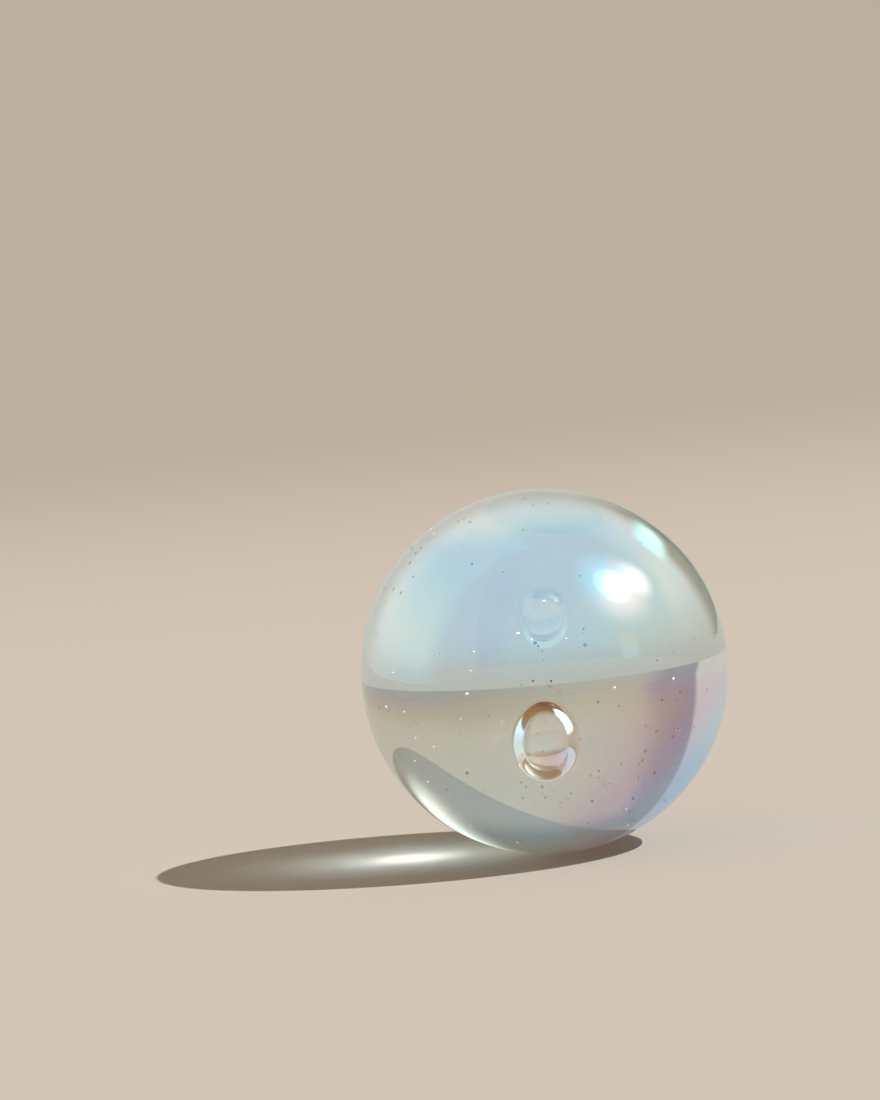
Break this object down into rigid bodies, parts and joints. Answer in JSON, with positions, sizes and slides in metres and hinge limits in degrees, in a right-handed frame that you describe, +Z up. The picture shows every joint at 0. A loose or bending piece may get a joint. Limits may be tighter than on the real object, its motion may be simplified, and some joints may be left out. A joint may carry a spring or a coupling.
{
  "type": "glass marble",
  "caption": "Clear glass ball with an iridescent skin and an egg-shaped air bubble sealed inside, low and near the front; rolled as a toy or used as a decorative bead.",
  "frame": {"origin": "centre of the ball", "axes": "+Z up from the surface that the ball lies on, -Y towards the side that shows the bubble, +X to that viewer's right"},
  "size_m": [0.025, 0.0252, 0.025],
  "materials": {
    "iridescent_glass": "fire-polished clear glass, faintly aqua, with a thin iridescent metal-oxide film, fine seed bubbles and a few surface pits"
  },
  "bodies": {
    "root": {"marble": "iridescent_glass"}
  },
  "joints": []
}
